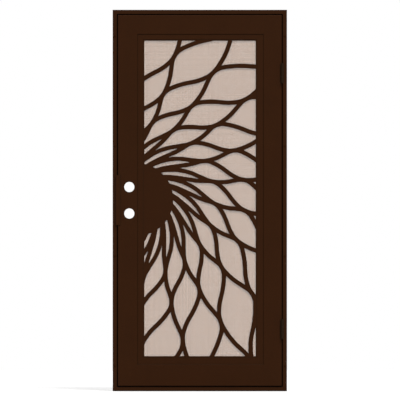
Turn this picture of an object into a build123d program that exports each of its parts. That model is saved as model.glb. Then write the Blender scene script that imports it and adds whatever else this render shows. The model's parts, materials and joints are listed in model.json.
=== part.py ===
"""Security screen door: a four-sided steel frame fixed to the face of a wall, and one leaf that swings outwards.

The leaf is a mitred tube frame with a laser-cut sun-ray grille in front of a woven screen.
Millimetres. +X points to the hinge side, -Y outwards, away from the house, and +Z up.
The origin is on the wall plane, at the middle of the sill's foot.
"""

import os
from math import cos, exp, hypot, log, pi, radians, sin, sqrt

from build123d import *

os.makedirs("parts", exist_ok=True)

# Door frame: a roll-formed tube with a stop fin along its back
frame_width = 920
frame_height = 2013
frame_face = 22.5
frame_depth = 40
frame_wall = 1.6
frame_round = 1.5
stop_lap = 14
fixing_radius = 4
fixing_from_foot = 133
fixing_from_top = 138.5
fixings_per_jamb = 4

# Leaf: four mitred tubes
leaf_gap = 5
leaf_depth = 38
seal_space = 6.4
tube_wall = 1.5
tube_round = 3
latch_stile_width = 103.5
hinge_stile_width = 96.5
top_rail_width = 102
bottom_rail_width = 114

# Border angles that hold the grille inside the tubes, with the widths from tube to daylight
latch_border = 36
hinge_border = 40.5
top_border = 33
bottom_border = 43
border_sheet = 2
border_recess = 3
border_leg = 32
border_round = 1.5
nest_clearance = 0.5

# Sun-ray grille: a disc, and from each root two strands that swing to and fro and meet their neighbours.
# Growth is the natural logarithm of a distance from the sun's centre, divided by the sun's radius.
grille_sheet = 3
grille_margin = 7
sun_radius = 191.5
sun_from_edge = 128
sun_height = 1012
ray_roots = 22
ray_width = 23.5
ray_root_width = 21
widening_growth = 0.4
root_angle = 4
swirl = 48
swirl_easing = -8
lean = 0.6
lean_lead = 0.08
root_phase = 0.3
wave_rate = 3.3
wave_onset = 0.58
wave_softness = 0.25

# Screen and what holds it, with a coarse grid of openings for its weave
screen_sheet = 1
openings_per_row = 4
openings_per_column = 10
screen_open_share = 0.22
screen_frame_depth = 7
screen_frame_wall = 1
screen_groove_depth = 9
screen_groove_clearance = 0.1
screen_frame_setback = 1
screen_setback = 4
retainer_sheet = 1.6
retainer_flange = 22
retainer_depth = 20

# Lock: two through bores in a box between the stile's walls, edge bores for the bolts, and a guard over the joint
lock_bore_radius = 27
edge_bore_radius = 12.7
lock_backset = 60.3
latch_height = 937.7
lock_spacing = 140
lock_box_width = 94
lock_box_margin = 62
lock_box_wall = 2
guard_width = 26
guard_margin = 62
guard_sheet = 3
guard_overlap = 7.5
guard_chamfer = 1.5
strike_width = 16
strike_length = 34

# Butt hinges in the joint, with their barrels in front of it
hinge_height = 102
upper_hinge_from_top = 336
lower_hinge_from_foot = 327
knuckles = 3
knuckle_gap = 0.5
barrel_radius = 7
pin_radius = 3.2
pin_clearance = 0.05
pin_head_radius = 6
pin_head_height = 3
plate_sheet = 2
plate_reach = 30
plate_clearance = 1

# Pile seals on the stop
seal_inset = 2
seal_base_width = 9
seal_base = 1.2
seal_pile_width = 5
seal_touch_gap = 0.3

# Rectangles as (left, right, bottom, top)
frame_edge = (-frame_width / 2, frame_width / 2, 0, frame_height)
sides = ("latch", "hinge", "top", "bottom")


def inset(rect, latch, hinge, top, bottom):
    """The rectangle that lies inside another by a distance on each side."""
    return (rect[0] + latch, rect[1] - hinge, rect[2] + bottom, rect[3] - top)


def inset_all(rect, distance):
    return inset(rect, distance, distance, distance, distance)


frame_reveal = inset_all(frame_edge, frame_face)
leaf_edge = inset_all(frame_reveal, leaf_gap)
stop_edge = inset_all(leaf_edge, stop_lap)
tube_reveal = inset(leaf_edge, latch_stile_width, hinge_stile_width, top_rail_width, bottom_rail_width)
daylight = inset(tube_reveal, latch_border, hinge_border, top_border, bottom_border)

# Levels from the wall plane outwards, as y
leaf_back = -(frame_wall + seal_space)
leaf_front = leaf_back - leaf_depth
leaf_middle = (leaf_front + leaf_back) / 2
border_front = leaf_front + border_recess
grille_front = border_front + border_sheet
grille_back = grille_front + grille_sheet
screen_frame_back = grille_back + screen_frame_depth
screen_middle = (grille_back + screen_frame_back) / 2


def side_plane(rect, side):
    """Section plane of one side of a ring: local x runs inwards from the rectangle, local y towards the wall."""
    left, right, bottom, top = rect
    corner, inward, along = {
        "latch": ((left, 0, bottom), (1, 0, 0), (0, 0, 1)),
        "hinge": ((right, 0, top), (-1, 0, 0), (0, 0, -1)),
        "top": ((left, 0, top), (0, 0, -1), (1, 0, 0)),
        "bottom": ((right, 0, bottom), (0, 0, 1), (-1, 0, 0)),
    }[side]
    return Plane(origin=corner, x_dir=inward, z_dir=along)


def mitre_zone(outer, inner, side):
    """Corners, as (x, z), of the zone between an outer and an inner rectangle that one side fills."""
    latch, hinge, bottom, top = range(4)
    ends = {
        "latch": ((latch, bottom), (latch, top)),
        "hinge": ((hinge, bottom), (hinge, top)),
        "top": ((latch, top), (hinge, top)),
        "bottom": ((latch, bottom), (hinge, bottom)),
    }[side]
    first, last = ends
    return [
        (outer[first[0]], outer[first[1]]),
        (outer[last[0]], outer[last[1]]),
        (inner[last[0]], inner[last[1]]),
        (inner[first[0]], inner[first[1]]),
    ]


def side_width(outer, inner, side):
    index = {"latch": 0, "hinge": 1, "bottom": 2, "top": 3}[side]
    return abs(outer[index] - inner[index])


def ring_side(outer, inner, side, section):
    """One side of a rectangular ring: a section drawn inwards from its outer edge, mitred at both ends."""
    run = outer[3] - outer[2] if side in ("latch", "hinge") else outer[1] - outer[0]
    with BuildPart() as piece:
        with BuildSketch(side_plane(outer, side)):
            section(side_width(outer, inner, side))
        extrude(amount=run)
        with BuildSketch(Plane.XZ):
            Polygon(*mitre_zone(outer, inner, side), align=None)
        extrude(amount=frame_depth + leaf_depth, both=True, mode=Mode.INTERSECT)
    return piece.part


def save(piece, name):
    piece.label = name
    export_step(piece, f"parts/{name}.step")


def block(left, right, front, back, mode=Mode.ADD):
    """A rectangle of a section, between two distances inwards and two levels."""
    with Locations(((left + right) / 2, (front + back) / 2)):
        Rectangle(right - left, back - front, mode=mode)


def jamb_section(width):
    block(0, frame_face, -frame_depth, 0)
    fillet(vertices().group_by(Axis.Y)[0], frame_round)
    block(frame_wall, frame_face - frame_wall, frame_wall - frame_depth, -frame_wall, Mode.SUBTRACT)
    block(frame_face - frame_wall, width, -frame_wall, 0)


def tube_section(width):
    with Locations((width / 2, leaf_middle)):
        RectangleRounded(width, leaf_depth, tube_round)
        Rectangle(width - 2 * tube_wall, leaf_depth - 2 * tube_wall, mode=Mode.SUBTRACT)


def border_section(width):
    block(0, width, border_front, grille_front)
    block(0, border_sheet, border_front, border_front + border_leg)
    fillet(vertices().sort_by(Axis.Y)[:2].sort_by(Axis.X)[0], border_round)


def screen_frame_section(width):
    block(0, width, grille_back, screen_frame_back)
    groove = screen_sheet / 2 + screen_groove_clearance
    block(width - screen_groove_depth, width, screen_middle - groove, screen_middle + groove, Mode.SUBTRACT)
    hollow_end = width - screen_groove_depth - screen_frame_wall
    hollow_front = grille_back + screen_frame_wall
    hollow_back = screen_frame_back - screen_frame_wall
    block(screen_frame_wall, hollow_end, hollow_front, hollow_back, Mode.SUBTRACT)


def retainer_section(width):
    block(0, width, screen_frame_back, screen_frame_back + retainer_sheet)
    block(0, retainer_sheet, screen_frame_back, screen_frame_back + retainer_depth)


def seal_section(width):
    foot = -frame_wall
    block(0, width, foot - seal_base, foot)
    block((width - seal_pile_width) / 2, (width + seal_pile_width) / 2, leaf_back + seal_touch_gap, foot)


def fixing_heights():
    pitch = (frame_height - fixing_from_foot - fixing_from_top) / (fixings_per_jamb - 1)
    return [fixing_from_foot + count * pitch for count in range(fixings_per_jamb)]


bolt_height = latch_height + lock_spacing

# Frame
frame_names = {"latch": "latch_jamb", "hinge": "hinge_jamb", "top": "head", "bottom": "sill"}
fixing_reach = frame_width / 2 - frame_face / 2
for side in sides:
    with BuildPart() as member:
        add(ring_side(frame_edge, stop_edge, side, jamb_section))
        if side in ("latch", "hinge"):
            across = -fixing_reach if side == "latch" else fixing_reach
            with BuildSketch(Plane.XZ):
                with Locations(*[(across, height) for height in fixing_heights()]):
                    Circle(fixing_radius)
            extrude(amount=frame_depth, mode=Mode.SUBTRACT)
        if side == "latch":
            with BuildSketch(Plane.YZ.offset(frame_reveal[0] - frame_wall)):
                with Locations((leaf_middle, latch_height), (leaf_middle, bolt_height)):
                    Rectangle(strike_width, strike_length)
            extrude(amount=frame_wall, mode=Mode.SUBTRACT)
    save(member.part, frame_names[side])

seal_outer = inset_all(leaf_edge, seal_inset)
seal_inner = inset_all(seal_outer, seal_base_width)
for side in sides:
    with BuildPart() as seal:
        add(ring_side(seal_outer, seal_inner, side, seal_section))
    save(seal.part, f"{side}_seal")

# Leaf tubes, with the lock bores in the latch stile
lock_across = leaf_edge[0] + lock_backset
lock_centres = [(lock_across, latch_height), (lock_across, bolt_height)]
tube_names = {"latch": "latch_stile", "hinge": "hinge_stile", "top": "top_rail", "bottom": "bottom_rail"}
for side in sides:
    with BuildPart() as tube:
        add(ring_side(leaf_edge, tube_reveal, side, tube_section))
        if side == "latch":
            with BuildSketch(Plane.XZ.offset(-leaf_back)):
                with Locations(*lock_centres):
                    Circle(lock_bore_radius)
            extrude(amount=leaf_depth, mode=Mode.SUBTRACT)
            with BuildSketch(Plane.YZ.offset(leaf_edge[0])):
                with Locations((leaf_middle, latch_height), (leaf_middle, bolt_height)):
                    Circle(edge_bore_radius)
            extrude(amount=tube_wall, mode=Mode.SUBTRACT)
    save(tube.part, tube_names[side])

lock_middle = (latch_height + bolt_height) / 2
lock_box_left = leaf_edge[0] + tube_wall
lock_box_height = lock_spacing + 2 * lock_box_margin
with BuildPart() as lock_box:
    with BuildSketch(Plane.XZ.offset(tube_wall - leaf_back)):
        with Locations((lock_box_left + lock_box_width / 2, lock_middle)):
            Rectangle(lock_box_width, lock_box_height)
        with Locations((lock_box_left + (lock_box_width - lock_box_wall) / 2, lock_middle)):
            Rectangle(lock_box_width - lock_box_wall, lock_box_height - 2 * lock_box_wall, mode=Mode.SUBTRACT)
    extrude(amount=leaf_depth - 2 * tube_wall)
save(lock_box.part, "lock_box")

guard_left = frame_reveal[0] - guard_overlap
with BuildPart() as latch_guard:
    with BuildSketch(Plane.XZ.offset(-leaf_front)):
        with Locations((guard_left + guard_width / 2, lock_middle)):
            Rectangle(guard_width, lock_spacing + 2 * guard_margin)
    extrude(amount=guard_sheet)
    chamfer(latch_guard.faces().sort_by(Axis.Y)[0].edges(), guard_chamfer)
save(latch_guard.part, "latch_guard")

# Borders, screen frame, screen and retainers, each nested in the one before
border_inner = inset_all(daylight, -grille_margin)
nest = inset_all(tube_reveal, border_sheet + nest_clearance)
screen_frame_inner = inset_all(daylight, -grille_margin - screen_frame_setback)
retainer_inner = inset_all(nest, retainer_flange)
for side in sides:
    with BuildPart() as border:
        add(ring_side(tube_reveal, border_inner, side, border_section))
    save(border.part, f"{side}_border")
for side in sides:
    with BuildPart() as screen_frame:
        add(ring_side(nest, screen_frame_inner, side, screen_frame_section))
    save(screen_frame.part, f"{side}_screen_frame")
for side in sides:
    with BuildPart() as retainer:
        add(ring_side(nest, retainer_inner, side, retainer_section))
    save(retainer.part, f"{side}_retainer")

screen_edge = inset_all(screen_frame_inner, -screen_setback)


def rectangle_between(rect, mode=Mode.ADD):
    with Locations(((rect[0] + rect[1]) / 2, (rect[2] + rect[3]) / 2)):
        Rectangle(rect[1] - rect[0], rect[3] - rect[2], mode=mode)


weave_pitch = (
    (screen_frame_inner[1] - screen_frame_inner[0]) / openings_per_row,
    (screen_frame_inner[3] - screen_frame_inner[2]) / openings_per_column,
)
weave_middle = ((screen_edge[0] + screen_edge[1]) / 2, (screen_edge[2] + screen_edge[3]) / 2)
weave_side = sqrt(screen_open_share)
with BuildPart() as screen:
    with BuildSketch(Plane.XZ.offset(-screen_middle - screen_sheet / 2)):
        rectangle_between(screen_edge)
        with Locations(weave_middle):
            with GridLocations(*weave_pitch, openings_per_row, openings_per_column):
                Rectangle(weave_pitch[0] * weave_side, weave_pitch[1] * weave_side, mode=Mode.SUBTRACT)
    extrude(amount=screen_sheet)
save(screen.part, "screen")

# Sun-ray grille. The phase of the strands' swing rises with growth, and two strands meet at each whole phase.
sun_across = frame_edge[0] + sun_from_edge
strand_angle = 360 / ray_roots / 2
farthest_across = max(daylight[1] - sun_across, sun_across - daylight[0])
farthest_up = max(daylight[3] - sun_height, sun_height - daylight[2])
farthest_growth = log(hypot(farthest_across, farthest_up) / sun_radius)
# A strand starts sunk in the sun. Arcs split its root evenly, and from the first phase on each swing.
sunk_growth = -0.1
first_phase = 0.55
root_arcs = 2
arcs_per_swing = 3


def wave_ramp(growth):
    """Nearly nothing before the onset of the swing, and a rise of one for one after it."""
    past = growth - wave_onset
    return (past + hypot(past, wave_softness)) / 2


def phase_at(growth):
    return root_phase + wave_rate * (wave_ramp(growth) - wave_ramp(0))


def growth_at(phase):
    """The growth at which the swing reaches a phase."""
    ramp = (phase - root_phase) / wave_rate + wave_ramp(0)
    return wave_onset + ramp - wave_softness**2 / ramp / 4


def strand_point(strand, growth):
    """Centre of a strand at a growth, as (x, z)."""
    distance = sun_radius * exp(growth)
    phase = phase_at(growth)
    sway = strand_angle / 2 * cos(pi * phase) * (1 if strand % 2 == 0 else -1)
    turn = lean * sin(2 * pi * (phase + lean_lead)) - swirl * growth - swirl_easing * growth**2
    angle = radians(root_angle + (strand - 0.5) * strand_angle + turn + sway)
    return (sun_across + distance * cos(angle), sun_height + distance * sin(angle))


def strand_sides(strand, growths):
    """Points along both sides of a strand, half a bar's width from its centre."""
    step = 0.001
    left, right = [], []
    for growth in growths:
        x, z = strand_point(strand, growth)
        ahead = strand_point(strand, growth + step)
        along = (ahead[0] - x, ahead[1] - z)
        width = ray_width - (ray_width - ray_root_width) * exp(-growth / widening_growth)
        scale = width / 2 / hypot(*along)
        left.append((x - along[1] * scale, z + along[0] * scale))
        right.append((x + along[1] * scale, z - along[0] * scale))
    return left, right


def near_daylight(point):
    wide = daylight[0] - ray_width < point[0] < daylight[1] + ray_width
    return wide and daylight[2] - ray_width < point[1] < daylight[3] + ray_width


def all_growths():
    """Ends and middles of a strand's arcs, from inside the sun to past the farthest corner."""
    root_step = (growth_at(first_phase) - sunk_growth) / root_arcs / 2
    growths = [sunk_growth + count * root_step for count in range(2 * root_arcs)]
    phase = first_phase
    while growths[-1] < farthest_growth or len(growths) % 2 == 0:
        growths.append(growth_at(phase))
        phase += 1 / arcs_per_swing / 2
    return growths


def crossing_growths(strand):
    """The whole arcs of a strand that reach the daylight."""
    growths = all_growths()
    inside = [count for count, growth in enumerate(growths) if near_daylight(strand_point(strand, growth))]
    if not inside:
        return []
    first = max(inside[0] - 1, 0) // 2 * 2
    last = min(inside[-1] + 2, len(growths) - 1) // 2 * 2
    return growths[first : last + 1]


with BuildPart() as grille:
    with BuildSketch(Plane.XZ.offset(-grille_back)):
        with Locations((sun_across, sun_height)):
            Circle(sun_radius)
        for strand in range(2 * ray_roots):
            growths = crossing_growths(strand)
            if not growths:
                continue
            left, right = strand_sides(strand, growths)
            with BuildLine():
                for end in range(2, len(growths), 2):
                    ThreePointArc(*left[end - 2 : end + 1])
                    ThreePointArc(*right[end - 2 : end + 1])
                Line(left[0], right[0])
                Line(left[-1], right[-1])
            make_face()
        rectangle_between(inset_all(daylight, -grille_margin / 2), Mode.INTERSECT)
        with BuildSketch(Plane.XZ.offset(-grille_back), mode=Mode.PRIVATE) as rim:
            rectangle_between(nest)
            rectangle_between(daylight, Mode.SUBTRACT)
        add(rim.sketch_local)
    extrude(amount=grille_sheet)
save(grille.part, "sun_ray_grille")

# Hinges: plates in the joint, barrels in front of it
pin_across = frame_reveal[1] - leaf_gap / 2
pin_level = leaf_front - barrel_radius
plate_front = leaf_front + plate_clearance
knuckle_pitch = hinge_height / knuckles


def hinge_plate(foot, sheet_left, first_knuckle):
    """One half of a hinge: a plate in the joint, and every second knuckle around the pin."""
    sheet_middle = sheet_left + plate_sheet / 2
    with BuildPart() as plate:
        with BuildSketch(Plane.XY.offset(foot)):
            with Locations((sheet_middle, plate_front + plate_reach / 2)):
                Rectangle(plate_sheet, plate_reach)
        extrude(amount=hinge_height)
        for knuckle in range(first_knuckle, knuckles, 2):
            with BuildSketch(Plane.XY.offset(foot + knuckle * knuckle_pitch + knuckle_gap / 2)):
                with Locations((pin_across, pin_level)):
                    Circle(barrel_radius)
                with Locations((sheet_middle, (pin_level + plate_front) / 2)):
                    Rectangle(plate_sheet, plate_front - pin_level)
                with Locations((pin_across, pin_level)):
                    Circle(pin_radius + pin_clearance, mode=Mode.SUBTRACT)
            extrude(amount=knuckle_pitch - knuckle_gap)
    return plate.part


upper_hinge_height = frame_height - upper_hinge_from_top
for level, height in (("upper", upper_hinge_height), ("lower", lower_hinge_from_foot)):
    foot = height - hinge_height / 2
    save(hinge_plate(foot, frame_reveal[1] - plate_sheet, 0), f"{level}_hinge_frame_plate")
    save(hinge_plate(foot, leaf_edge[1], 1), f"{level}_hinge_leaf_plate")
    with BuildPart() as pin:
        with BuildSketch(Plane.XY.offset(foot)):
            with Locations((pin_across, pin_level)):
                Circle(pin_radius)
        extrude(amount=hinge_height)
        with BuildSketch(Plane.XY.offset(foot + hinge_height)):
            with Locations((pin_across, pin_level)):
                Circle(pin_head_radius)
        extrude(amount=pin_head_height)
    save(pin.part, f"{level}_hinge_pin")
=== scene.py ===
"""Looks of the security screen door: paint, woven screen, screws and brush seals, with light and camera.

Metres. +X points to the hinge side, -Y outwards, away from the house, and +Z up.
"""

import json
import math
import random

import bpy
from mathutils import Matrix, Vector


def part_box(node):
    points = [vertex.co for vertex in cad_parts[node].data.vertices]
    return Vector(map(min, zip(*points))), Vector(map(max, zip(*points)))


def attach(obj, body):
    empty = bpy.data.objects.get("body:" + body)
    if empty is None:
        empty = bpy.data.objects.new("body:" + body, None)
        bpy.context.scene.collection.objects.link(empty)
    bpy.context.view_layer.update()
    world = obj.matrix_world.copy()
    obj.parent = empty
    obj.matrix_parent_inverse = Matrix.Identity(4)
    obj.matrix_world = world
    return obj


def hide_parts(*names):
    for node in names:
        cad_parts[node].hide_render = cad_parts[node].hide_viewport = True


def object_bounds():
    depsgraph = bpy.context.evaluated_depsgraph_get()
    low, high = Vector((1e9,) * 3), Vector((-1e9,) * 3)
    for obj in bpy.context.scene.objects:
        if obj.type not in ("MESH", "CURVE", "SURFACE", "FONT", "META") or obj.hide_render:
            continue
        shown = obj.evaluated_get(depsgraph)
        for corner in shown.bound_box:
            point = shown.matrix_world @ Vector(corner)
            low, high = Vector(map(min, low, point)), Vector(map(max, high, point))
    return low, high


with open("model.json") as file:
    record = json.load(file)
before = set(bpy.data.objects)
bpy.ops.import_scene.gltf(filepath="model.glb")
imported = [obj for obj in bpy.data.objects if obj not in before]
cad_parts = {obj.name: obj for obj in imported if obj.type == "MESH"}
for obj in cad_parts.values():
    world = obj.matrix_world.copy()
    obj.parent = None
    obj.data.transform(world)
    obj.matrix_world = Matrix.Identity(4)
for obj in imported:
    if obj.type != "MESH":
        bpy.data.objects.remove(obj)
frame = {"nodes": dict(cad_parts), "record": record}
cad_box = [list(corner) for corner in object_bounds()]

MM = 0.001
SIDES = ("latch", "hinge", "top", "bottom")

# The photograph's own frame: 400 pixels square, and one pixel is 5.278 mm on the door
IMAGE_PIXELS = 400
PIXEL = 5.278 * MM
DOOR_CENTRE_PIXEL = (199.8, 200.5)

# Linear colours
BRONZE = (0.0329, 0.0101, 0.0022)
BRONZE_DARK = (0.0241, 0.0075, 0.0017)
# The hinge's bronze is painted darker than the door's, as the shade of the recess where the hinge sits
HINGE_BRONZE_WITH_PAINTED_SHADE = (0.0150, 0.0075, 0.0030)
# Dark brown painted into corners and recesses as their shade, and also the dark tone of the hinge's grain
PAINTED_SHADE_AND_DARK_GRAIN = (0.0150, 0.0080, 0.0032)
BARE_STEEL = (0.32, 0.30, 0.28)
GALVANISED = (0.42, 0.43, 0.43)
GALVANISED_SHADE = (0.33, 0.34, 0.35)
SCREEN_COAT = (0.53, 0.356, 0.254)
SCREEN_SHADE = (0.31, 0.208, 0.147)
PILE = (0.05, 0.048, 0.045)
PILE_TIP = (0.09, 0.086, 0.08)
SCREW = (0.0290, 0.0085, 0.0018)
SCREW_RUBBED = (0.042, 0.017, 0.007)
FLOOR_GREY = (0.46, 0.46, 0.46)
WHITE = (1, 1, 1)

# Sizes in the surfaces: shade is painted darker into the paint within the painted shade's reach of a
# corner
EDGE_RADIUS = 0.8 * MM
PAINTED_SHADE_REACH = 8 * MM
PEEL_DEPTH = 0.2 * MM
FIBRE_DEPTH = 0.4 * MM

# Noises, in cycles a metre
MOTTLE = 9
WORN_PATCHES = 60
SPANGLE = 160
WIRE_VARIATION = 190
COAT_GRAIN = 420
RUB_MARKS = 500
ORANGE_PEEL = 650
WIRE_GRAIN = 900
FIBRES = 1500

# A noise keeps mostly to its middle, and so does a sum of noises
NOISE_SPREAD = (0.3, 0.7)
FIBRE_SPREAD = (0.35, 0.65)
SUM_SPREAD = (0.75, 1.25)
COAT_SPREAD = (0.45, 0.85)
WHOLE = (0, 1)

# The powder coat's tone is its grain with this share of its mottle
MOTTLE_SHARE = 0.3

# An edge begins and is complete where the rounded normal leaves the flat one by these cosines
EDGE_TURN = (0.98, 0.8)

# Painted shade in a corner begins and is complete where this share of its surroundings is open
CORNER_OPENNESS = (0.95, 0.55)
# The darkest the painted shade gets, as a share of the way to its dark brown
DARKEST_PAINTED_SHADE = 0.9


# Materials
class Tree:
    """The nodes of a material or of the world, with short ways to make the kinds that are used here."""

    # The mix node has several sockets of one name, so the ones for colours go by number
    FIRST_COLOUR, SECOND_COLOUR, MIXED_COLOUR = 6, 7, 2

    def __init__(self, owner):
        owner.use_nodes = True
        self.nodes = owner.node_tree.nodes
        self.links = owner.node_tree.links

    def fill(self, node, inputs):
        """Gives each input of a node a fixed value or another node's output."""
        for name, value in inputs.items():
            if isinstance(value, bpy.types.NodeSocket):
                self.links.new(value, node.inputs[name])
            else:
                node.inputs[name].default_value = value

    def add(self, kind, inputs, **settings):
        node = self.nodes.new(kind)
        for name, value in settings.items():
            setattr(node, name, value)
        self.fill(node, inputs)
        return node

    def coordinates(self, scale=(1, 1, 1)):
        """Object coordinates in metres, stretched by a scale along each axis."""
        place = self.add("ShaderNodeTexCoord", {}).outputs["Object"]
        return self.add("ShaderNodeMapping", {"Vector": place, "Scale": scale}).outputs["Vector"]

    def noise(self, vector, scale, detail=2, roughness=0.5):
        inputs = {"Vector": vector, "Scale": scale, "Detail": detail, "Roughness": roughness}
        return self.add("ShaderNodeTexNoise", inputs).outputs["Fac"]

    def remap(self, value, source, target):
        """Maps a value from one range to another."""
        inputs = {"Value": value}
        inputs["From Min"], inputs["From Max"] = source
        inputs["To Min"], inputs["To Max"] = target
        return self.add("ShaderNodeMapRange", inputs).outputs["Result"]

    def combine(self, operation, *numbers):
        """Works one number out of several."""
        return self.add("ShaderNodeMath", dict(enumerate(numbers)), operation=operation).outputs["Value"]

    def mix(self, factor, first, second):
        """Mixes two colours, each fixed or a node's output, by a factor."""
        inputs = {"Factor": factor}
        for socket, colour in ((self.FIRST_COLOUR, first), (self.SECOND_COLOUR, second)):
            inputs[socket] = (*colour, 1) if isinstance(colour, tuple) else colour
        return self.add("ShaderNodeMix", inputs, data_type="RGBA").outputs[self.MIXED_COLOUR]

    def bump(self, height, distance, strength, base=None):
        """A normal that follows a height, on top of a base normal if one is given."""
        inputs = {"Height": height, "Distance": distance, "Strength": strength}
        if base is not None:
            inputs["Normal"] = base
        return self.add("ShaderNodeBump", inputs).outputs["Normal"]


def new_material(name):
    """A material with its tree and its shader."""
    material = bpy.data.materials.new(name)
    tree = Tree(material)
    return material, tree, tree.nodes["Principled BSDF"]


def powder_coat(name, colour, shade, wear=0):
    """Satin powder coat with a fine grain, orange peel, shade painted darker into its corners and
    recesses, and rubbed edges.
    """
    material, tree, shader = new_material(name)
    plain = tree.coordinates()
    mottle = tree.noise(plain, MOTTLE, detail=4, roughness=0.6)
    grain = tree.noise(plain, COAT_GRAIN, detail=3, roughness=0.6)
    tone = tree.combine("MULTIPLY_ADD", mottle, MOTTLE_SHARE, grain)
    coat = tree.mix(tree.remap(tone, COAT_SPREAD, WHOLE), colour, shade)
    rounding = tree.add("ShaderNodeBevel", {"Radius": EDGE_RADIUS}, samples=4).outputs["Normal"]
    if wear:
        flat = tree.add("ShaderNodeNewGeometry", {}).outputs["Normal"]
        turn = tree.add("ShaderNodeVectorMath", {0: flat, 1: rounding}, operation="DOT_PRODUCT")
        edge = tree.remap(turn.outputs["Value"], EDGE_TURN, (0, wear))
        patches = tree.noise(plain, WORN_PATCHES, detail=5, roughness=0.7)
        worn = tree.combine("MULTIPLY", edge, tree.remap(patches, (0.5, 0.62), WHOLE))
        coat = tree.mix(worn, coat, BARE_STEEL)
    # Shade painted into the coat: darker brown in corners and recesses, the more closed in they are
    corners = tree.add("ShaderNodeAmbientOcclusion", {"Distance": PAINTED_SHADE_REACH}, samples=8)
    painted_shade = tree.remap(corners.outputs["AO"], CORNER_OPENNESS, (0, DARKEST_PAINTED_SHADE))
    peel = tree.noise(plain, ORANGE_PEEL, detail=1)
    tree.fill(shader, {
        "Base Color": tree.mix(painted_shade, coat, PAINTED_SHADE_AND_DARK_GRAIN),
        "Roughness": tree.remap(grain, NOISE_SPREAD, (0.42, 0.58)),
        "Specular IOR Level": 0.05,
        "Normal": tree.bump(peel, PEEL_DEPTH, 0.6, rounding),
    })
    return material


def galvanised(name):
    """Zinc-coated sheet with its spangle."""
    material, tree, shader = new_material(name)
    crystals = tree.add("ShaderNodeTexVoronoi", {"Vector": tree.coordinates(), "Scale": SPANGLE})
    spangle = crystals.outputs["Distance"]
    tree.fill(shader, {
        "Base Color": tree.mix(tree.remap(spangle, (0, 0.8), WHOLE), GALVANISED, GALVANISED_SHADE),
        "Roughness": tree.remap(spangle, (0, 0.8), (0.35, 0.55)),
        "Metallic": 1,
    })
    return material


def wire_coat(name):
    """Sand-coloured coat on the woven wire, a little uneven from wire to wire in both directions."""
    material, tree, shader = new_material(name)
    columns = tree.noise(tree.coordinates((WIRE_VARIATION, 0, 0)), 1, detail=1)
    rows = tree.noise(tree.coordinates((0, 0, WIRE_VARIATION)), 1, detail=1)
    tone = tree.remap(tree.combine("ADD", columns, rows), SUM_SPREAD, WHOLE)
    fine = tree.noise(tree.coordinates(), WIRE_GRAIN)
    tree.fill(shader, {
        "Base Color": tree.mix(tone, SCREEN_COAT, SCREEN_SHADE),
        "Roughness": tree.remap(fine, NOISE_SPREAD, (0.5, 0.7)),
        "Specular IOR Level": 0.15,
    })
    return material


def brush_pile(name):
    """Dark pile fibres, lighter towards some tips."""
    material, tree, shader = new_material(name)
    fibres = tree.noise(tree.coordinates(), FIBRES, detail=3, roughness=0.7)
    tree.fill(shader, {
        "Base Color": tree.mix(tree.remap(fibres, FIBRE_SPREAD, WHOLE), PILE, PILE_TIP),
        "Roughness": 0.9,
        "Sheen Weight": 0.3,
        "Specular IOR Level": 0.1,
        "Normal": tree.bump(fibres, FIBRE_DEPTH, 0.6),
    })
    return material


def screw_coat(name):
    """Screw painted like the door, rubbed lighter where a tool has turned it."""
    material, tree, shader = new_material(name)
    marks = tree.noise(tree.coordinates(), RUB_MARKS, detail=4, roughness=0.7)
    tree.fill(shader, {
        "Base Color": tree.mix(tree.remap(marks, (0.58, 0.7), (0, 0.5)), SCREW, SCREW_RUBBED),
        "Roughness": 0.45,
        "Specular IOR Level": 0.02,
    })
    return material


MATERIALS = {
    "frame_paint": powder_coat("frame_powder_coat", BRONZE, BRONZE_DARK, wear=0.06),
    "leaf_paint": powder_coat("leaf_powder_coat", BRONZE, BRONZE_DARK, wear=0.06),
    "grille_paint": powder_coat("grille_powder_coat", BRONZE, BRONZE_DARK, wear=0.06),
    "inner_paint": powder_coat("inner_powder_coat", BRONZE, BRONZE_DARK),
    # The hinge's coat carries painted shade: darker than the door's, as the shade of its recess
    "hinge_paint": powder_coat("hinge_powder_coat", HINGE_BRONZE_WITH_PAINTED_SHADE, PAINTED_SHADE_AND_DARK_GRAIN, wear=0.3),
    "lock_box_steel": galvanised("galvanised_sheet"),
    "screen_mesh": wire_coat("coated_wire"),
    "seal_pile": brush_pile("seal_pile_fibre"),
}
SCREW_MATERIAL = screw_coat("screw_steel")

for row in frame["record"]["subparts"]:
    node = frame["nodes"][row["node"]]
    node.data.materials.clear()
    node.data.materials.append(MATERIALS[row["material_slot"]])


# Pieces
def add_piece(name, shape, body, material, smooth_angle=None):
    """A new piece from a shape, which is a list of vertices and a list of faces."""
    mesh = bpy.data.meshes.new(name)
    mesh.from_pydata(shape[0], [], shape[1])
    mesh.validate()
    if smooth_angle is not None:
        mesh.polygons.foreach_set("use_smooth", [True] * len(mesh.polygons))
        mesh.set_sharp_from_angle(angle=math.radians(smooth_angle))
    mesh.materials.append(material)
    piece = bpy.data.objects.new(name, mesh)
    bpy.context.collection.objects.link(piece)
    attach(piece, body)
    return piece


def join_shapes(shapes):
    """One shape from several."""
    vertices, faces = [], []
    for more_vertices, more_faces in shapes:
        start = len(vertices)
        vertices += more_vertices
        faces += [tuple(start + corner for corner in face) for face in more_faces]
    return vertices, faces


def run_axis(side):
    """The axis along which the pieces of a side run: upright at the latch and hinge sides, else level."""
    return 2 if side in ("latch", "hinge") else 0


# Woven screen: flat-sided wires in two crossing layers
WIRE_PITCH = 3.52 * MM
WIRE_WIDTH = 1.86 * MM
WIRE_DEPTH = 0.46 * MM
WIRE_SIDES = 6
wire_low, wire_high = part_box("screen")


def wire_section():
    """Corners of a wire's section, as (across, level)."""
    half, flat, depth = WIRE_WIDTH / 2, WIRE_WIDTH / 4, WIRE_DEPTH / 2
    return [(half, 0), (flat, depth), (-flat, depth), (-half, 0), (-flat, -depth), (flat, -depth)]


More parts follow.
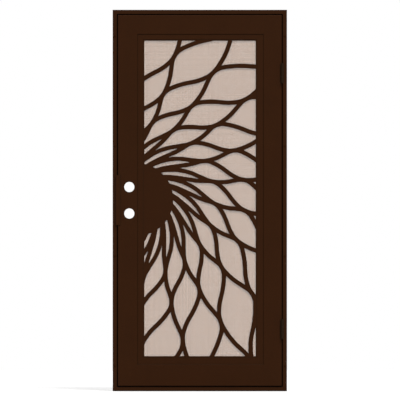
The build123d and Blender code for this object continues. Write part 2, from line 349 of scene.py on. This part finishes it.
def wires(upright):
    """One layer of parallel wires: the upright ones lie in front of the level ones."""
    vertices, faces = [], []
    across = 0 if upright else 2
    along = 2 - across
    level = (wire_low[1] + wire_high[1]) / 2 + (-1 if upright else 1) * WIRE_DEPTH / 2
    span = wire_high[across] - wire_low[across]
    count = int(span / WIRE_PITCH)
    first_place = wire_low[across] + (span - (count - 1) * WIRE_PITCH) / 2
    for wire in range(count):
        near = len(vertices)
        far = near + WIRE_SIDES
        for end in (wire_low[along], wire_high[along]):
            for offset, height in wire_section():
                corner = [0, level + height, 0]
                corner[across] = first_place + wire * WIRE_PITCH + offset
                corner[along] = end
                vertices.append(tuple(corner))
        for side in range(WIRE_SIDES):
            ahead = (side + 1) % WIRE_SIDES
            quad = (near + side, near + ahead, far + ahead, far + side)
            faces.append(quad if upright else quad[::-1])
        near_cap = tuple(range(near, far))
        far_cap = tuple(range(far, far + WIRE_SIDES))
        faces.append(near_cap[::-1] if upright else near_cap)
        faces.append(far_cap if upright else far_cap[::-1])
    return vertices, faces


weave = join_shapes([wires(True), wires(False)])
woven = add_piece("woven_screen", weave, "leaf", MATERIALS["screen_mesh"])
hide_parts("screen")

# Screws: a button head with a hexagon socket, on a shank
TURN_STEPS = 24
HEXAGON_SIDES = 6
SMOOTH_ANGLE = 35
SHANK_TAPER = 0.7
SHANK_POINT = 0.4

# The head's dome is part of a quarter round, from its rim up, on a flat middle of this share
DOME_TILTS = (0.0, 0.35, 0.7, 1.05)
DOME_FLAT = 0.25


def ring(radius, level, hexagon=False):
    """Points round a screw's axis, as (across, level, up), on a circle or on a hexagon."""
    points = []
    for step in range(TURN_STEPS):
        angle = 2 * math.pi * step / TURN_STEPS
        reach = radius
        if hexagon:
            sector = 2 * math.pi / HEXAGON_SIDES
            reach = radius / math.cos(angle % sector - sector / 2)
        points.append((reach * math.cos(angle), level, reach * math.sin(angle)))
    return points


def screw(head_radius, head_height, shank_radius, shank_length, socket_radius, socket_depth):
    """A screw whose head stands on level 0 towards -Y, with its shank towards +Y."""
    rings = [
        ring(shank_radius * SHANK_TAPER, shank_length),
        ring(shank_radius, shank_length - shank_radius * SHANK_POINT),
        ring(shank_radius, 0),
        ring(head_radius, 0),
    ]
    for tilt in DOME_TILTS:
        width = DOME_FLAT + (1 - DOME_FLAT) * math.cos(tilt)
        height = DOME_FLAT + (1 - DOME_FLAT) * math.sin(tilt)
        rings.append(ring(head_radius * width, -head_height * height))
    top = rings[-1][0][1]
    rings.append(ring(socket_radius, top, hexagon=True))
    rings.append(ring(socket_radius, top + socket_depth, hexagon=True))
    vertices = [point for loop in rings for point in loop]
    faces = []
    for loop in range(len(rings) - 1):
        for step in range(TURN_STEPS):
            ahead = (step + 1) % TURN_STEPS
            this, following = loop * TURN_STEPS, (loop + 1) * TURN_STEPS
            faces.append((this + step, this + ahead, following + ahead, following + step))
    last = (len(rings) - 1) * TURN_STEPS
    tip = len(vertices)
    vertices += [(0, rings[0][0][1], 0), (0, rings[-1][0][1], 0)]
    for step in range(TURN_STEPS):
        ahead = (step + 1) % TURN_STEPS
        faces.append((ahead, step, tip))
        faces.append((last + step, last + ahead, tip + 1))
    return vertices, faces


def screws_at(places, outwards, shape):
    """Copies of a screw at places, facing outwards along -Y, or along +Y if outwards is false."""
    vertices, faces = shape
    turn = 1 if outwards else -1
    copies = []
    for x, y, z in places:
        copies.append(([(x + turn * a, y + turn * b, z + c) for a, b, c in vertices], faces))
    return join_shapes(copies)


def fixing_places():
    """The middles of the fixing holes, on the jambs' front face, from the record's bolt patterns."""
    jamb_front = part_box("latch_jamb")[0][1]
    places = []
    for mount in frame["record"]["mounts"]:
        if mount["kind"] != "bolt_pattern":
            continue
        middle = mount["pos_m"][2]
        reach = mount["dims"]["spacing_x_mm"] * MM / 2
        rise = mount["dims"]["spacing_y_mm"] * MM / 2
        places += [(x, jamb_front, z) for x in (-reach, reach) for z in (middle - rise, middle + rise)]
    return places


fixing = screw(
    head_radius=6.4 * MM,
    head_height=2.2 * MM,
    shank_radius=3.8 * MM,
    shank_length=39.6 * MM,
    socket_radius=2.1 * MM,
    socket_depth=1.5 * MM,
)
fixings = screws_at(fixing_places(), True, fixing)
add_piece("fixing_screws", fixings, "frame", SCREW_MATERIAL, SMOOTH_ANGLE)

RETAINER_SCREW_PITCH = 210 * MM
RETAINER_SCREW_INSET = 13 * MM
RETAINER_SCREW_END = 60 * MM
RETAINER_SHEET = 1.6 * MM


def retainer_screw_places(side):
    """Places along the middle of a retainer's flange, on its back face."""
    low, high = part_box(f"{side}_retainer")
    along = run_axis(side)
    across = 2 - along
    near_low = side in ("latch", "bottom")
    line = low[across] + RETAINER_SCREW_INSET if near_low else high[across] - RETAINER_SCREW_INSET
    run = high[along] - low[along] - 2 * RETAINER_SCREW_END
    spaces = round(run / RETAINER_SCREW_PITCH)
    places = []
    for number in range(spaces + 1):
        place = [0, low[1] + RETAINER_SHEET, 0]
        place[across] = line
        place[along] = low[along] + RETAINER_SCREW_END + run * number / spaces
        places.append(tuple(place))
    return places


retainer_screw = screw(
    head_radius=4.2 * MM,
    head_height=1.9 * MM,
    shank_radius=2 * MM,
    shank_length=6 * MM,
    socket_radius=1.4 * MM,
    socket_depth=1.1 * MM,
)
retainer_places = [place for side in SIDES for place in retainer_screw_places(side)]
retainer_screws = screws_at(retainer_places, False, retainer_screw)
add_piece("retainer_screws", retainer_screws, "leaf", SCREW_MATERIAL, SMOOTH_ANGLE)

# Brush seals: a backing strip with rows of bristles, which are three-sided spikes
BRISTLE_PITCH = 1.1 * MM
BRISTLE_ROWS = 4
BRISTLE_WIDTH = 0.7 * MM
BRISTLE_SIDES = 3
BACKING = 1.2 * MM
PILE_WIDTH = 5 * MM
STRAY = 0.35 * MM
seal_random = random.Random(7)


def box_shape(low, high):
    """A box between two corners."""
    vertices = [(x, y, z) for x in (low[0], high[0]) for y in (low[1], high[1]) for z in (low[2], high[2])]
    faces = [(0, 1, 3, 2), (4, 6, 7, 5), (0, 4, 5, 1), (2, 3, 7, 6), (0, 2, 6, 4), (1, 5, 7, 3)]
    return vertices, faces


def bristles(side):
    """Thin spikes from inside the backing to the pile's face."""
    low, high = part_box(f"{side}_seal")
    along = run_axis(side)
    across = 2 - along
    middle = (low[across] + high[across]) / 2
    root = high[1] - BACKING / 2
    tip = low[1]
    count = int((high[along] - low[along]) / BRISTLE_PITCH) - 1
    vertices, faces = [], []
    for row in range(BRISTLE_ROWS):
        line = middle + (row / (BRISTLE_ROWS - 1) - 0.5) * (PILE_WIDTH - BRISTLE_WIDTH)
        for number in range(count):
            place = low[along] + (number + 1 + row % 2 / 2) * BRISTLE_PITCH
            start = len(vertices)
            for corner in range(BRISTLE_SIDES):
                angle = 2 * math.pi * corner / BRISTLE_SIDES
                point = [0, root, 0]
                point[across] = line + BRISTLE_WIDTH / 2 * math.cos(angle)
                point[along] = place + BRISTLE_WIDTH / 2 * math.sin(angle)
                vertices.append(tuple(point))
            point = [0, tip + seal_random.uniform(0, 1) * STRAY, 0]
            point[across] = line + seal_random.uniform(-1, 1) * STRAY
            point[along] = place + seal_random.uniform(-1, 1) * STRAY
            vertices.append(tuple(point))
            spike = [tuple(range(start, start + BRISTLE_SIDES))[::-1]]
            for corner in range(BRISTLE_SIDES):
                ahead = (corner + 1) % BRISTLE_SIDES
                spike.append((start + corner, start + ahead, start + BRISTLE_SIDES))
            faces += spike if along == 2 else [face[::-1] for face in spike]
    return vertices, faces


for side in SIDES:
    low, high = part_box(f"{side}_seal")
    backing = box_shape((low[0], high[1] - BACKING, low[2]), high)
    brush = join_shapes([backing, bristles(side)])
    seal = add_piece(f"{side}_brush_seal", brush, "frame", MATERIALS["seal_pile"])
    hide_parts(f"{side}_seal")


# Floor, world and lamps: the floor glows for the camera alone, so that it looks white
FLOOR_REACH = 6
FLOOR_DROP = 0.5 * MM
FLOOR_GLOW = 0.5
AMBIENT = 0.55


def make_floor():
    """A pale floor that keeps the door's shadow."""
    mesh = bpy.data.meshes.new("floor")
    reach = FLOOR_REACH
    corners = [(-reach, -reach, 0), (reach, -reach, 0), (reach, reach, 0), (-reach, reach, 0)]
    mesh.from_pydata(corners, [], [(0, 1, 2, 3)])
    material = bpy.data.materials.new("pale_floor")
    tree = Tree(material)
    tree.nodes.clear()
    pale = tree.add("ShaderNodeBsdfDiffuse", {"Color": (*FLOOR_GREY, 1)}).outputs["BSDF"]
    seen = tree.add("ShaderNodeLightPath", {}).outputs["Is Camera Ray"]
    strength = tree.combine("MULTIPLY", seen, FLOOR_GLOW)
    glow = tree.add("ShaderNodeEmission", {"Strength": strength}).outputs["Emission"]
    both = tree.add("ShaderNodeAddShader", {0: pale, 1: glow}).outputs["Shader"]
    tree.add("ShaderNodeOutputMaterial", {"Surface": both})
    mesh.materials.append(material)
    floor = bpy.data.objects.new("floor", mesh)
    bpy.context.collection.objects.link(floor)
    floor.location.z = -FLOOR_DROP


def make_world():
    """A white background for the camera and for reflections, and a softer even light for the rest."""
    world = bpy.data.worlds.new("studio")
    bpy.context.scene.world = world
    tree = Tree(world)
    rays = tree.add("ShaderNodeLightPath", {}).outputs
    shown = rays["Is Camera Ray"]
    for name in ("Is Glossy Ray", "Is Transmission Ray"):
        shown = tree.combine("MAXIMUM", shown, rays[name])
    strength = tree.remap(shown, WHOLE, (AMBIENT, 1))
    tree.fill(tree.nodes["Background"], {"Color": (*WHITE, 1), "Strength": strength})


def turn_to(thing, direction):
    """Turns a lamp or camera so that it looks along a direction."""
    thing.rotation_mode = "QUATERNION"
    thing.rotation_quaternion = Vector(direction).to_track_quat("-Z", "Y")


def make_sun(name, direction, strength, spread):
    """A soft lamp that shines along a direction, with a spread in degrees."""
    lamp = bpy.data.lights.new(name, "SUN")
    lamp.energy = strength
    lamp.angle = math.radians(spread)
    sun = bpy.data.objects.new(name, lamp)
    bpy.context.collection.objects.link(sun)
    turn_to(sun, direction)


make_floor()
make_world()
make_sun("key", direction=(-0.35, 0.65, -1), strength=2.9, spread=20)
make_sun("back_fill", direction=(0.3, -0.8, -0.7), strength=1.3, spread=40)

# Camera: far away with a long lens, level with the middle of the door, as flat as the photograph
CAMERA_DISTANCE = 50
door_centre = (cad_box[0][2] + cad_box[1][2]) / 2
leaf_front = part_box("latch_stile")[0][1]
camera = bpy.data.objects.new("camera", bpy.data.cameras.new("camera"))
bpy.context.collection.objects.link(camera)
camera.data.lens = camera.data.sensor_width * CAMERA_DISTANCE / (IMAGE_PIXELS * PIXEL)
camera.data.clip_end = 2 * CAMERA_DISTANCE
camera.location.x = (IMAGE_PIXELS / 2 - DOOR_CENTRE_PIXEL[0]) * PIXEL
camera.location.y = leaf_front - CAMERA_DISTANCE
camera.location.z = door_centre + (DOOR_CENTRE_PIXEL[1] - IMAGE_PIXELS / 2) * PIXEL
turn_to(camera, (0, 1, 0))
bpy.context.scene.camera = camera
bpy.context.scene.view_settings.view_transform = "Standard"
